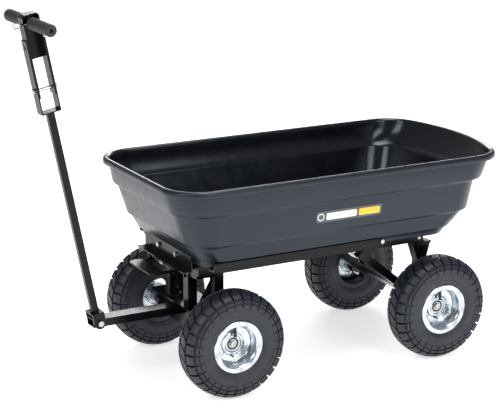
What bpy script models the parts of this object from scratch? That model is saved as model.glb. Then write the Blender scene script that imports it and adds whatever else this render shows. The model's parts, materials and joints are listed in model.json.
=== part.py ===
"""Garden dump cart: moulded tub on a steel frame, four pneumatic wheels, steered and pulled by a
T-handle that turns into a hitch clevis.

Metres, +X forward (handle end), +Y the cart's left, +Z up, origin on the ground under the middle of
the overall box. Moving pieces hang on an empty that stands on their joint's axis.
"""

import math

import bmesh
import bpy
from mathutils import Matrix, Vector

# ---- driving dimensions ------------------------------------------------------------------------
GAP = 0.0003  # between pieces that touch
RUN = 0.0003  # radial clearance of a pin or shaft in its hole
BITE = 0.0010  # how far welded pieces run into each other

# wheels
WHEELBASE = 0.588
TRACK = 0.4154
TYRE_D = 0.264
TYRE_W = 0.0823
TYRE_WALL = 0.005
TREAD_T = 0.010
BEAD_D = 0.1016  # bead seat of the rim
BEAD_GAP = 0.0006
FLANGE_D = 0.1274
RIM_W = 0.0712  # over the flanges
RIM_T = 0.0018
HUB_D = 0.0390
HUB_OUT = 0.0065  # hub end beyond the wheel's centre plane, outboard
HUB_IN = 0.0505  # hub end beyond the wheel's centre plane, inboard
BEARING_D = 0.0350
BEARING_W = 0.0110
AXLE_D = 0.0159
AXLE_OUT = 0.0050  # axle end beyond the hub
VALVE_D = 0.0085
VALVE_L = 0.0270
VALVE_Z = 0.0160  # valve's distance outboard of the wheel's centre plane
TYRE_STEPS = 24
RIM_STEPS = 18

# tub
BED_W = 0.5010
BED_AHEAD = 0.1575  # rim ahead of the front axle
BED_BEHIND = 0.2110  # rim behind the rear axle
BED_DEPTH = 0.2050
BED_WALL = 0.0045
RIM_LIP = 0.0160  # depth of the rolled rim
FLOOR_INSET = 0.0545  # floor edge inside the rim, on the long sides
REAR_BOW_R = 0.55
REST_HALF = 0.0920
PAD_LENGTH = 0.0360
PAD_WIDTH = 0.0120

# frame, heights above the rail's and the beam's tops
BEAM_RISE = 0.0230  # axle beam's top above the axle
PLATE_RISE = 0.0270  # upper turntable plate's top above the beam's
SUPPORT_H = 0.1260  # rail's top above the turntable plate's
FLOOR_RISE = 0.0080  # tub floor above the rail's top
RAIL_W = 0.0200
RAIL_H = 0.0250
RAIL_INSET = 0.0322  # rail's centre inside the hub's end
CROSS_DROP = 0.0380  # front cross member's underside below the rail's top
CROSS_AHEAD = 0.0460
CROSS_W = 0.0400
POST = 0.0250  # square tubes of the front support
POST_Y = 0.0500
POST_AHEAD = 0.0430
LEG_W = 0.0250
LEG_INSET = 0.0070
STRUT = 0.0120
PLATE_T = 0.0050
BRACE_W = 0.0240
BRACE_T = 0.0200
BRACE_REACH = 0.1840  # how far ahead of the rear axle the braces meet the rails
RAIL_OVER = 0.0060  # rail's rear end behind the rear axle
HINGE_AHEAD = 0.0090  # hinge rod ahead of the rear axle
HINGE_PIN_D = 0.0100
EAR_T = 0.0040

# steering
BEAM_W = 0.0400
BEAM_H = 0.0440
BEAM_WALL = 0.0040
TONGUE_W = 0.0380
TONGUE_H = 0.0200
TONGUE_WALL = 0.0025
KINGPIN_D = 0.0120
KING_FLATS = 0.0190
KING_HEAD = 0.0080
KING_NUT = 0.0070

# pull handle, measured along the handle from its pivot bolt
PIVOT_AHEAD = 0.2580  # pivot bolt ahead of the front axle
LEAN = math.radians(11.35)
HANDLE_W = 0.0180  # square tube
HANDLE_CORNER = 0.0030
CLEVIS_DEPTH = 0.0300
CLEVIS_T = 0.0035
CLEVIS_TOP = 0.0260
CLEVIS_PLAY = 0.0012
BOLT_D = 0.0080
BOLT_FLATS = 0.0130
YOKE_LOW = 0.5350
YOKE_TOP = 0.7120
YOKE_W = 0.0480
YOKE_DEPTH = 0.0300
YOKE_T = 0.0030
HITCH_HOLE_DOWN = 0.0180
CROSS_PIN = 0.5915
CROSS_PIN_D = 0.0080
PIN_FLATS = 0.0120
BRACKET_TOP = 0.7710
BRACKET_LOW = 0.5750
BRACKET_CHAMFER = 0.0060
WEB_LOW = 0.6620
TBAR = 0.7487
TBAR_D = 0.0190
GRIP_D = 0.0290
GRIP_END = 0.1300
GRIP_COLLAR = 0.0050
GRIP_HOLE_D = 0.0090
HITCH_PIN_D = 0.0070
KNOB_D = 0.0130
KNOB_L = 0.0100
KNOB_REACH = 0.0180  # end of the hitch pin's knob beyond the bracket
LONG = 0.0500  # reach of a drill through a small fitting

# front angle, release handle
ANGLE_INSET = 0.0940  # back face of the front angle's upright leg, inside the rim's front
ANGLE_HALF = 0.1280
ANGLE_T = 0.0030
ANGLE_DROP = 0.0130  # angle's underside below the rail's top
ANGLE_H = 0.0380
ANGLE_W = 0.0255
ANGLE_BOLT_Y = 0.0480
ANGLE_BOLT_UP = 0.0240
ANGLE_BOLT_R = 0.0030
ANGLE_BOLT_FLATS = 0.0110
BOLT_SINK = 0.0060  # bolt's end behind the angle's back face
RELEASE_AHEAD = 0.0165  # release pin ahead of the angle's back face
RELEASE_DROP = 0.0080
RELEASE_L = 0.0630
RELEASE_BAR = 0.0380
RELEASE_HALF = 0.0660
RELEASE_ARM = 0.0140
RELEASE_T = 0.0030
RELEASE_LOW = 0.0075  # plate's underside below the pin
RELEASE_PIN_D = 0.0060
HOOK_DROP = 0.0160
HOOK_GAP = 0.0008  # hook to cross member
LUG_IN = 0.0045  # lug's inner face beyond the release arm
LUG_OUT = 0.0075
LUG_W = 0.0140

# steel rails under the tub's long sides
SIDE_RAIL_INSET = 0.0440
SIDE_RAIL_LEG = 0.0280
SIDE_RAIL_UP = 0.0165
SIDE_RAIL_BACK = 0.1610  # rear end ahead of the rear axle
SIDE_SCREW_IN = 0.0060
SIDE_SCREW_UP = 0.0090
SIDE_SCREW_D = 0.0050
SIDE_SCREW_FLATS = 0.0100

# ---- values that follow -------------------------------------------------------------------------
AXLE_Z = TYRE_D / 2
AXLE_X = WHEELBASE / 2
AXLE_HALF = TRACK / 2 + HUB_OUT + AXLE_OUT
BEAM_TOP = AXLE_Z + BEAM_RISE
BEAM_HALF = TRACK / 2 - HUB_IN - 0.0022
PLATE_TOP = BEAM_TOP + PLATE_RISE
RAIL_TOP = PLATE_TOP + SUPPORT_H
RAIL_LOW = RAIL_TOP - RAIL_H
RAIL_Y = TRACK / 2 - HUB_IN - RAIL_INSET
RAIL_FRONT = AXLE_X + CROSS_AHEAD + 0.0050
LEG_X = AXLE_X - LEG_INSET
LEG_Y = RAIL_Y - LEG_INSET
POST_FRONT = AXLE_X + POST_AHEAD
CROSS_FRONT = AXLE_X + CROSS_AHEAD
CROSS_LOW = RAIL_TOP - CROSS_DROP
HINGE_X = HINGE_AHEAD - AXLE_X
HINGE_Z = RAIL_TOP - RAIL_H / 2
BED_FLOOR = RAIL_TOP + FLOOR_RISE
BED_TOP = BED_FLOOR + BED_DEPTH
BED_FRONT = AXLE_X + BED_AHEAD
BED_REAR = AXLE_X + BED_BEHIND
PIVOT_X = AXLE_X + PIVOT_AHEAD
PIVOT_Z = BEAM_TOP + TONGUE_H / 2 + 0.0010
TONGUE_END = PIVOT_X + 0.0160
ANGLE_X = BED_FRONT - ANGLE_INSET
ANGLE_LOW = RAIL_TOP - ANGLE_DROP
ANGLE_TOP = ANGLE_LOW + ANGLE_H
ANGLE_BOLT_Z = ANGLE_LOW + ANGLE_BOLT_UP
CROSS_TOP = ANGLE_LOW - GAP
RELEASE_X = ANGLE_X + RELEASE_AHEAD
RELEASE_Z = ANGLE_LOW - RELEASE_DROP
SIDE_RAIL_Y = BED_W / 2 - SIDE_RAIL_INSET
SIDE_RAIL_REAR = SIDE_RAIL_BACK - AXLE_X
SIDE_SCREW_X = SIDE_RAIL_REAR + SIDE_SCREW_IN
SIDE_SCREW_Z = BED_FLOOR + SIDE_SCREW_UP
BRACKET_OUT = YOKE_W / 2 - YOKE_T - GAP
FRONT_END = PIVOT_X + TBAR * math.sin(LEAN) + (BRACKET_OUT + KNOB_REACH) * math.cos(LEAN)
SHIFT = (BED_REAR - FRONT_END) / 2  # puts the middle of the overall length on x = 0

SIDES = (("left", 1), ("right", -1))
PARTS = "garden_cart"
CUTTERS = "cutters"


# ---- helpers ------------------------------------------------------------------------------------
def clear_scene():
    for obj in list(bpy.data.objects):
        bpy.data.objects.remove(obj, do_unlink=True)


def collection(name):
    found = bpy.data.collections.get(name)
    if found is None:
        found = bpy.data.collections.new(name)
        bpy.context.scene.collection.children.link(found)
    return found


def material(name, colour, roughness, metallic):
    made = bpy.data.materials.new(name)
    made.use_nodes = True
    shader = made.node_tree.nodes["Principled BSDF"]
    shader.inputs["Base Color"].default_value = (*colour, 1.0)
    shader.inputs["Roughness"].default_value = roughness
    shader.inputs["Metallic"].default_value = metallic
    made.diffuse_color = (*colour, 1.0)
    return made


FINISHES = {
    "poly": ((0.055, 0.062, 0.074), 0.45, 0.0),
    "powder": ((0.014, 0.014, 0.016), 0.35, 0.0),
    "tyre": ((0.028, 0.029, 0.033), 0.80, 0.0),
    "galvanised": ((0.72, 0.75, 0.78), 0.30, 1.0),
    "zinc": ((0.80, 0.80, 0.80), 0.25, 1.0),
    "rubber": ((0.025, 0.026, 0.028), 0.70, 0.0),
}


def add(name, mesh, finish, parent=None, place=None):
    """Make the named part from a bmesh or a mesh, with its own material, on its parent empty."""
    if isinstance(mesh, bmesh.types.BMesh):
        bmesh.ops.recalc_face_normals(mesh, faces=mesh.faces)
        data = bpy.data.meshes.new(name)
        mesh.to_mesh(data)
        mesh.free()
    else:
        data = mesh
    obj = bpy.data.objects.new(name, data)
    collection(PARTS).objects.link(obj)
    data.materials.clear()
    data.materials.append(material(name, *FINISHES[finish]))
    if parent is not None:
        obj.parent = parent
    if place is not None:
        obj.matrix_local = place
    return obj


def empty(name, at, turn=(0, 0, 0), parent=None):
    obj = bpy.data.objects.new(name, None)
    collection(PARTS).objects.link(obj)
    obj.location = at
    obj.rotation_euler = turn
    obj.parent = parent
    return obj


def box(low, high):
    """A box between two corners."""
    bm = bmesh.new()
    low, high = Vector(low), Vector(high)
    size = high - low
    where = Matrix.Translation((low + high) / 2) @ Matrix.Diagonal((*size, 1))
    bmesh.ops.create_cube(bm, size=1.0, matrix=where)
    return bm


def slab(centre, size, turn=None):
    """A box of this size about its centre, turned by a matrix."""
    bm = bmesh.new()
    where = Matrix.Translation(centre) @ (turn or Matrix.Identity(4)) @ Matrix.Diagonal((*size, 1))
    bmesh.ops.create_cube(bm, size=1.0, matrix=where)
    return bm


def rod(start, end, radius, sides=16):
    """A solid cylinder between two points."""
    start, end = Vector(start), Vector(end)
    along = end - start
    turn = along.to_track_quat("Z", "Y").to_matrix().to_4x4()
    bm = bmesh.new()
    bmesh.ops.create_cone(
        bm, cap_ends=True, segments=sides, radius1=radius, radius2=radius, depth=along.length,
        matrix=Matrix.Translation((start + end) / 2) @ turn,
    )
    return bm


def plate(outline, low, high, axis="z"):
    """A closed outline pushed from low to high along an axis.

    The outline's points are (x, y) for z, (x, z) for y and (y, z) for x.
    """
    order = {"z": (0, 1, 2), "y": (0, 2, 1), "x": (1, 2, 0)}[axis]
    bm = bmesh.new()
    ends = []
    for level in (low, high):
        ring = []
        for point in outline:
            place = [0.0, 0.0, 0.0]
            place[order[0]], place[order[1]] = point
            place[order[2]] = level
            ring.append(bm.verts.new(place))
        ends.append(ring)
    for ring in ends:
        bm.faces.new(ring)
    count = len(outline)
    for i in range(count):
        j = (i + 1) % count
        bm.faces.new((ends[0][i], ends[0][j], ends[1][j], ends[1][i]))
    return bm


def arc(centre, radius, start, end, steps):
    """Points of an arc, angles in degrees."""
    points = []
    for i in range(steps + 1):
        angle = math.radians(start + (end - start) * i / steps)
        points.append((centre[0] + radius * math.cos(angle), centre[1] + radius * math.sin(angle)))
    return points


def rounded_square(width, radius, steps=3):
    """Outline of a square with round corners, about its centre."""
    reach = width / 2 - radius
    points = []
    for i, (x, y) in enumerate(((1, 1), (-1, 1), (-1, -1), (1, -1))):
        points += arc((x * reach, y * reach), radius, 90 * i, 90 * i + 90, steps)
    return points


def offset_path(points, distance):
    """The path moved sideways by a distance, to its left, with mitred corners."""
    moved = []
    for i, point in enumerate(points):
        here = Vector(point)
        before = Vector(points[max(i - 1, 0)])
        after = Vector(points[min(i + 1, len(points) - 1)])
        first = (here - before).normalized() if i else (after - here).normalized()
        second = (after - here).normalized() if i < len(points) - 1 else first
        normal_1 = Vector((-first.y, first.x))
        normal_2 = Vector((-second.y, second.x))
        middle = (normal_1 + normal_2).normalized()
        moved.append(tuple(here + middle * distance / max(middle.dot(normal_1), 0.3)))
    return moved


def turned(name, profile, finish, steps, parent=None, place=None):
    """A ring turned about the local Z axis from a closed profile of (radius, height) points."""
    area = sum(
        a[0] * b[1] - b[0] * a[1] for a, b in zip(profile, profile[1:] + profile[:1])
    )
    if area > 0:
        profile = profile[::-1]
    bm = bmesh.new()
    verts = [bm.verts.new((radius, 0.0, height)) for radius, height in profile]
    for i, vert in enumerate(verts):
        bm.edges.new((vert, verts[(i + 1) % len(verts)]))
    data = bpy.data.meshes.new(name)
    bm.to_mesh(data)
    bm.free()
    obj = add(name, data, finish, parent, place)
    screw = obj.modifiers.new("turn", "SCREW")
    screw.axis = "Z"
    screw.angle = math.tau
    screw.steps = steps
    screw.render_steps = steps
    screw.use_merge_vertices = True
    screw.merge_threshold = 0.00001
    return obj


def cutter(name, bm, parent=None):
    bmesh.ops.recalc_face_normals(bm, faces=bm.faces)
    data = bpy.data.meshes.new(name)
    bm.to_mesh(data)
    bm.free()
    obj = bpy.data.objects.new(name, data)
    collection(CUTTERS).objects.link(obj)
    obj.hide_render = True
    obj.display_type = "WIRE"
    obj.parent = parent
    return obj


def boolean(obj, tool, operation):
    step = obj.modifiers.new(tool.name, "BOOLEAN")
    step.operation = operation
    step.solver = "EXACT"
    step.object = tool


def cut(obj, label, bm):
    boolean(obj, cutter(f"{obj.name}_{label}", bm, obj.parent), "DIFFERENCE")


def join(obj, label, bm):
    boolean(obj, cutter(f"{obj.name}_{label}", bm, obj.parent), "UNION")


def across(low, high, side):
    """Two corners of a box, with their y values mirrored to the given side."""
    ends = sorted((low[1] * side, high[1] * side))
    return (low[0], ends[0], low[2]), (high[0], ends[1], high[2])


# ---- wheels -------------------------------------------------------------------------------------
def tyre_profile():
    """Tyre section (radius, height along the axle), open at the beads."""
    outer = TYRE_D / 2
    half = TYRE_W / 2
    bead = BEAD_D / 2 + BEAD_GAP
    bead_half = RIM_W / 2 - RIM_T - GAP
    belly = bead + (outer - bead) * 0.42
    shoulder = half * 0.80
    right = [
        (outer, 0.0),
        (outer - 0.0012, half * 0.45),
        (outer - 0.0060, shoulder),
        (outer - 0.0200, half * 0.97),
        (belly, half),
        (bead + 0.0146, bead_half + 0.0035),
        (bead + 0.0134, bead_half),
        (bead + 0.0030, bead_half),
        (bead, bead_half - 0.0036),
        (bead, bead_half - TYRE_WALL * 1.6),
        (bead + 0.0110, bead_half - TYRE_WALL),
        (belly, half - TYRE_WALL),
        (outer - TREAD_T - 0.0100, half - TYRE_WALL * 1.6),
        (outer - TREAD_T, 0.0),
    ]
    left = [(radius, -height) for radius, height in right[1:-1]]
    return right + left[::-1]


def rim_path():
    """Middle-facing skin of a rim half, from the flange's tip to the disc, as (radius, height)."""
    flange = FLANGE_D / 2
    seat = BEAD_D / 2
    tip = RIM_W / 2
    return [
        (flange, tip - RIM_T),
        (seat + 0.0025, tip - RIM_T),
        (seat, tip - RIM_T - 0.0030),
        (seat - 0.0012, 0.0085),
        (seat - 0.0045, 0.0020),
        (seat - 0.0085, GAP / 2),
    ]


def rim_outer_profile():
    path = rim_path()
    path.append((HUB_D / 2 + RUN, GAP / 2))
    return path + offset_path(path, -RIM_T)[::-1]


def rim_inner_profile():
    """Inboard rim half, with the hub tube that both halves sit on."""
    path = [(radius, -height) for radius, height in rim_path()]
    back = offset_path(path + [(HUB_D / 2, -GAP / 2)], RIM_T)
    hub = HUB_D / 2
    bore = BEARING_D / 2 + GAP
    return path + [
        (hub, -GAP / 2),
        (hub, HUB_OUT),
        (bore, HUB_OUT),
        (bore, -HUB_IN),
        (hub, -HUB_IN),
        (hub, back[-1][1]),
    ] + back[:-1][::-1]


def bearing_profile(low, high):
    inner = AXLE_D / 2 + RUN
    outer = BEARING_D / 2
    return [(inner, low), (outer, low), (outer, high), (inner, high)]


def valve_profile():
    radius = VALVE_D / 2
    return [
        (radius * 1.25, 0.0),
        (radius * 1.25, 0.0040),
        (radius, 0.0060),
        (radius * 0.82, VALVE_L * 0.55),
        (radius * 0.95, VALVE_L * 0.58),
        (radius * 0.90, VALVE_L),
    ]


def wheel(prefix, x, z, side, parent):
    """One wheel; the empty's local Z runs along the axle, outboard."""
    hub = empty(f"{prefix}_wheel", (x, side * TRACK / 2, z), (-side * math.pi / 2, 0, 0), parent)
    turned(f"{prefix}_tyre", tyre_profile(), "tyre", TYRE_STEPS, hub)
    turned(f"{prefix}_rim_outer", rim_outer_profile(), "galvanised", RIM_STEPS, hub)
    turned(f"{prefix}_rim_inner", rim_inner_profile(), "galvanised", RIM_STEPS, hub)
    for name, low in (("outer", HUB_OUT - BEARING_W - GAP), ("inner", GAP - HUB_IN)):
        turned(
            f"{prefix}_bearing_{name}", bearing_profile(low, low + BEARING_W), "zinc", RIM_STEPS, hub
        )
    valve_stem(prefix, hub, side)


def valve_stem(prefix, hub, side):
    """Rubber valve on the outboard rim half, pointing from the bead seat towards the hub."""
    top = BEAD_D / 2 - RIM_T - 0.0024
    points = valve_profile()
    bm = bmesh.new()
    verts = [bm.verts.new((radius, 0, along)) for radius, along in points]
    first = bm.verts.new((0, 0, 0))
    last = bm.verts.new((0, 0, points[-1][1]))
    chain = [first, *verts, last]
    edges = [bm.edges.new(pair) for pair in zip(chain, chain[1:])]
    bmesh.ops.spin(
        bm, geom=chain + edges, cent=(0, 0, 0), axis=(0, 0, 1), angle=math.tau, steps=8,
        use_merge=True,
    )
    bmesh.ops.remove_doubles(bm, verts=bm.verts, dist=0.000001)
    # local +Z of the stem points from the rim to the hub, in the plane across the axle
    place = Matrix.Translation((0, -side * top, VALVE_Z)) @ Matrix.Rotation(
        -side * math.pi / 2, 4, "X"
    )
    place = place @ Matrix.Rotation(side * math.radians(6), 4, "X")
    add(f"{prefix}_valve_stem", bm, "rubber", hub, place)


# ---- tub ----------------------------------------------------------------------------------------
def half_outline(half, front, rear, front_r, rear_r, bow_r):
    """Plan points of the left half, from the middle of the front to the middle of the rear."""
    points = [(front, half * 0.33 * i) for i in range(2)]
    points += arc((front - front_r, half - front_r), front_r, 0, 90, 6)
    bow_x = bow_r - rear
    corner_x = bow_x - math.sqrt((bow_r - rear_r) ** 2 - (half - rear_r) ** 2)
    turn = math.degrees(math.atan2(half - rear_r, corner_x - bow_x))
    front_end = front - front_r
    span = front_end - corner_x
    points += [(front_end - span * i / 4, half) for i in range(1, 4)]
    points += arc((corner_x, half - rear_r), rear_r, 90, turn, 6)
    points += arc((bow_x, 0), bow_r, turn, 180, 5)[1:]
    return points


def tub_levels():
    """Outer skin of the tub from its floor up: height, half width, front, rear, corner radii."""
    half = BED_W / 2
    rise = BED_DEPTH / 0.205
    lip = RIM_LIP - BED_WALL
    under = BED_TOP - BED_WALL
    turn = 0.0030

    def level(z, side, front, rear, front_r, rear_r):
        return (z, half - side, BED_FRONT - front, BED_REAR - rear, front_r, rear_r)

    return [
        level(BED_FLOOR, FLOOR_INSET, 0.0980, 0.1480, 0.055, 0.050),
        level(BED_FLOOR + 0.017 * rise, FLOOR_INSET - 0.0020, 0.0970, 0.1360, 0.056, 0.050),
        level(BED_FLOOR + 0.020 * rise, 0.0425, 0.0860, 0.1300, 0.065, 0.055),
        level(BED_FLOOR + 0.054 * rise, 0.0395, 0.0660, 0.0920, 0.068, 0.060),
        level(BED_FLOOR + 0.062 * rise, 0.0325, 0.0560, 0.0765, 0.074, 0.066),
        level(BED_FLOOR + 0.134 * rise, 0.0245, 0.0330, 0.0610, 0.080, 0.070),
        level(BED_FLOOR + 0.143 * rise, 0.0165, 0.0210, 0.0370, 0.086, 0.080),
        level(BED_FLOOR + 0.182 * rise, 0.0130, 0.0140, 0.0190, 0.088, 0.090),
        level(under - turn, lip + 0.0005, lip + 0.0010, lip + 0.0020, 0.088, 0.092),
        level(under, lip - turn, lip - turn, lip - turn, 0.088, 0.093),
        level(under, BED_WALL + turn, BED_WALL + turn, BED_WALL + turn, 0.089, 0.094),
        level(under - turn, BED_WALL, BED_WALL, BED_WALL, 0.090, 0.095),
        level(BED_TOP - RIM_LIP, BED_WALL, BED_WALL, BED_WALL, 0.090, 0.095),
    ]


def tub(parent):
    bm = bmesh.new()
    rings = []
    for height, half, front, rear, front_r, rear_r in tub_levels():
        left = half_outline(half, front, rear, front_r, rear_r, REAR_BOW_R)
        outline = left + [(x, -y) for x, y in left[-2:0:-1]]
        rings.append([bm.verts.new((x, y, height)) for x, y in outline])
    bm.faces.new(rings[0])
    for low, high in zip(rings, rings[1:]):
        for i, vert in enumerate(low):
            j = (i + 1) % len(low)
            bm.faces.new((vert, low[j], high[j], high[i]))
    bmesh.ops.recalc_face_normals(bm, faces=bm.faces)
    floor = min(bm.faces, key=lambda face: face.calc_center_median().z)
    if floor.normal.z > 0:
        bmesh.ops.reverse_faces(bm, faces=bm.faces)
    data = bpy.data.meshes.new("bed_tub")
    bm.to_mesh(data)
    bm.free()
    obj = add("bed_tub", data, "poly", parent)
    shell = obj.modifiers.new("wall", "SOLIDIFY")
    shell.thickness = BED_WALL
    shell.offset = -1
    shell.use_even_offset = True
    seat = CROSS_FRONT - CROSS_W
    wall = ANGLE_X - 0.0015
    into = BED_FLOOR + 2 * BITE
    join(obj, "front_rest", box((seat + 2 * RIM_T, -REST_HALF, ANGLE_LOW), (wall, REST_HALF, into)))
    pad = box((wall - BED_WALL, -REST_HALF - BITE, ANGLE_LOW + BITE),
              (ANGLE_X - GAP, REST_HALF + BITE, ANGLE_TOP - BITE))
    join(obj, "front_pad", pad)
    outer = SIDE_RAIL_Y - SIDE_RAIL_LEG - GAP
    for label, x in (("pad_mid", AXLE_X - 0.1890), ("pad_front", AXLE_X + 0.0010)):
        for name, side in SIDES:
            ends = across((x - PAD_LENGTH / 2, outer - PAD_WIDTH, ANGLE_LOW + 0.0060),
                          (x + PAD_LENGTH / 2, outer, into), side)
            join(obj, f"{label}_{name}", box(*ends))
    for name, side in SIDES:
        y = side * ANGLE_BOLT_Y
        hole = rod((ANGLE_X - BOLT_SINK - BITE, y, ANGLE_BOLT_Z), (ANGLE_X + LONG, y, ANGLE_BOLT_Z),
                   ANGLE_BOLT_R + RUN, 12)
        cut(obj, f"bolt_hole_{name}", hole)
        edge = BED_W / 2 - FLOOR_INSET
        hole = rod((SIDE_SCREW_X, side * (edge - 3 * BED_WALL), SIDE_SCREW_Z),
                   (SIDE_SCREW_X, side * (edge + LONG), SIDE_SCREW_Z), SIDE_SCREW_D / 2 + RUN, 10)
        cut(obj, f"screw_hole_{name}", hole)
    return obj


def hex_head(centre, across_flats, thickness, axis):
    """A six-sided head or nut centred on a point, along a unit axis."""
    bm = bmesh.new()
    turn = Vector(axis).to_track_quat("Z", "Y").to_matrix().to_4x4()
    radius = across_flats / math.sqrt(3)
    bmesh.ops.create_cone(
        bm, cap_ends=True, segments=6, radius1=radius, radius2=radius, depth=thickness,
        matrix=Matrix.Translation(centre) @ turn,
    )
    return bm


def side_rails(parent):
    flat = BED_FLOOR - GAP
    outer = SIDE_RAIL_Y
    for name, side in SIDES:
        section = [
            (side * outer, flat - ANGLE_T),
            (side * outer, BED_FLOOR + SIDE_RAIL_UP),
            (side * (outer - ANGLE_T), BED_FLOOR + SIDE_RAIL_UP),
            (side * (outer - ANGLE_T), flat),
            (side * (outer - SIDE_RAIL_LEG), flat),
            (side * (outer - SIDE_RAIL_LEG), flat - ANGLE_T),
        ]
        rail = add(f"bed_rail_{name}", plate(section, SIDE_RAIL_REAR, CROSS_FRONT, "x"), "powder", parent)
        hole = rod((SIDE_SCREW_X, side * (outer - LONG), SIDE_SCREW_Z),
                   (SIDE_SCREW_X, side * (outer + LONG), SIDE_SCREW_Z), SIDE_SCREW_D / 2 + RUN, 10)
        cut(rail, "hole", hole)
        tip = BED_W / 2 - FLOOR_INSET - 2 * BED_WALL
        head = SIDE_SCREW_FLATS * 0.4
        shank = rod((SIDE_SCREW_X, side * tip, SIDE_SCREW_Z),
                    (SIDE_SCREW_X, side * (outer + head / 2), SIDE_SCREW_Z), SIDE_SCREW_D / 2, 10)
        screw = add(f"bed_rail_screw_{name}", shank, "zinc", parent)
        middle = (SIDE_SCREW_X, side * (outer + GAP + head / 2), SIDE_SCREW_Z)
        join(screw, "head", hex_head(middle, SIDE_SCREW_FLATS, head, (0, side, 0)))


def front_angle(parent):
    front = ANGLE_X + ANGLE_W
    face = ANGLE_X + ANGLE_T
    section = [
        (ANGLE_X, ANGLE_LOW), (front, ANGLE_LOW), (front, ANGLE_LOW + ANGLE_T),
        (face, ANGLE_LOW + ANGLE_T), (face, ANGLE_TOP), (ANGLE_X, ANGLE_TOP),
    ]
    angle = add("bed_front_angle", plate(section, -ANGLE_HALF, ANGLE_HALF, "y"), "powder", parent)
    head = ANGLE_BOLT_FLATS * 0.45
    for name, side in SIDES:
        y = side * ANGLE_BOLT_Y
        hole = rod((ANGLE_X - LONG, y, ANGLE_BOLT_Z), (face + LONG, y, ANGLE_BOLT_Z), ANGLE_BOLT_R + RUN, 12)
        cut(angle, f"bolt_hole_{name}", hole)
        start = (ANGLE_X - BOLT_SINK, y, ANGLE_BOLT_Z)
        shank = rod(start, (face + head / 2, y, ANGLE_BOLT_Z), ANGLE_BOLT_R, 12)
        bolt = add(f"front_angle_bolt_{name}", shank, "zinc", parent)
        middle = (face + GAP + head / 2, y, ANGLE_BOLT_Z)
        join(bolt, "head", hex_head(middle, ANGLE_BOLT_FLATS, head, (1, 0, 0)))
        join(angle, f"lug_{name}", lug_plate(side))
    reach = RELEASE_HALF + LUG_OUT + LONG
    cut(angle, "pin_hole", rod((RELEASE_X, -reach, RELEASE_Z), (RELEASE_X, reach, RELEASE_Z),
                               RELEASE_PIN_D / 2 + RUN, 12))


def lug_plate(side):
    """Ear under the front angle that holds one end of the release handle's pin."""
    faces = sorted((side * (RELEASE_HALF + LUG_IN), side * (RELEASE_HALF + LUG_OUT)))
    half = LUG_W / 2
    outline = [
        (RELEASE_X - half, ANGLE_LOW + BITE), (RELEASE_X - half, RELEASE_Z - half),
        (RELEASE_X + half, RELEASE_Z - half), (RELEASE_X + half, ANGLE_LOW + BITE),
    ]
    return plate(outline, *faces, "y")


def hinge_bracket(parent):
    """Channel bolted under the floor whose two ears turn on the hinge rod."""
    half = RAIL_Y - max(RAIL_W, LEG_W, BRACE_W) / 2 - 5 * GAP
    top = BED_FLOOR - GAP
    drop = HINGE_Z - HINGE_PIN_D
    section = [
        (-half, top), (-half, drop), (-half + EAR_T, drop), (-half + EAR_T, top - EAR_T),
        (half - EAR_T, top - EAR_T), (half - EAR_T, drop), (half, drop), (half, top),
    ]
    back = HINGE_X - HINGE_PIN_D - GAP * 10
    bracket = add("bed_hinge_bracket", plate(section, back, back + 0.0350, "x"), "powder", parent)
    hole = rod((HINGE_X, -half - LONG, HINGE_Z), (HINGE_X, half + LONG, HINGE_Z), HINGE_PIN_D / 2 + RUN)
    cut(bracket, "pin_hole", hole)


def release(bed_pivot):
    """U-shaped pull handle under the front angle, with a hook at the back of each arm, and its spring."""
    place = (RELEASE_X - HINGE_X, 0, RELEASE_Z - HINGE_Z)
    pivot = empty("release_pivot", place, parent=bed_pivot)
    front = RELEASE_L
    low = -RELEASE_LOW
    half = RELEASE_HALF
    corner = 0.0100
    back = CROSS_FRONT + HOOK_GAP - RELEASE_X
    heel = back + 0.0060
    right = [(heel, half - RELEASE_ARM), (heel, half), (front - corner, half), (front, half - corner)]
    left = [(x, -y) for x, y in right[::-1]]
    window = [(front - RELEASE_BAR, -half + RELEASE_ARM), (front - RELEASE_BAR, half - RELEASE_ARM)]
    handle = add("release_handle", plate(right + left + window, low, low + RELEASE_T), "powder", pivot)
    reach = half + LUG_OUT + 2 * BITE
    join(handle, "pin", rod((0, -reach, 0), (0, reach, 0), RELEASE_PIN_D / 2, 12))
    cheek_half = RELEASE_PIN_D
    for name, side in SIDES:
        faces = sorted((side * half, side * (half - RELEASE_T)))
        cheek = [
            (-cheek_half, low + BITE), (-cheek_half, cheek_half * 0.6),
            (cheek_half, cheek_half * 0.6), (cheek_half, low + BITE),
        ]
        join(handle, f"cheek_{name}", plate(cheek, *faces, "y"))
        hook = [
            (heel + RELEASE_T, low + BITE), (heel + RELEASE_T, low - HOOK_DROP),
            (back + BITE, low - HOOK_DROP), (back, low - HOOK_DROP * 0.7),
            (heel, low - HOOK_DROP / 2), (heel, low + BITE),
        ]
        join(handle, f"hook_{name}", plate(hook, *faces, "y"))
    bore = RELEASE_PIN_D / 2 + 2 * GAP
    wire = 0.0018
    reach = 0.0100
    coil = [(bore, -reach), (bore + wire, -reach), (bore + wire, reach), (bore, reach)]
    turned("release_spring", coil, "zinc", 16, bed_pivot,
           Matrix.Translation(place) @ Matrix.Rotation(math.pi / 2, 4, "X"))


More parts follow.
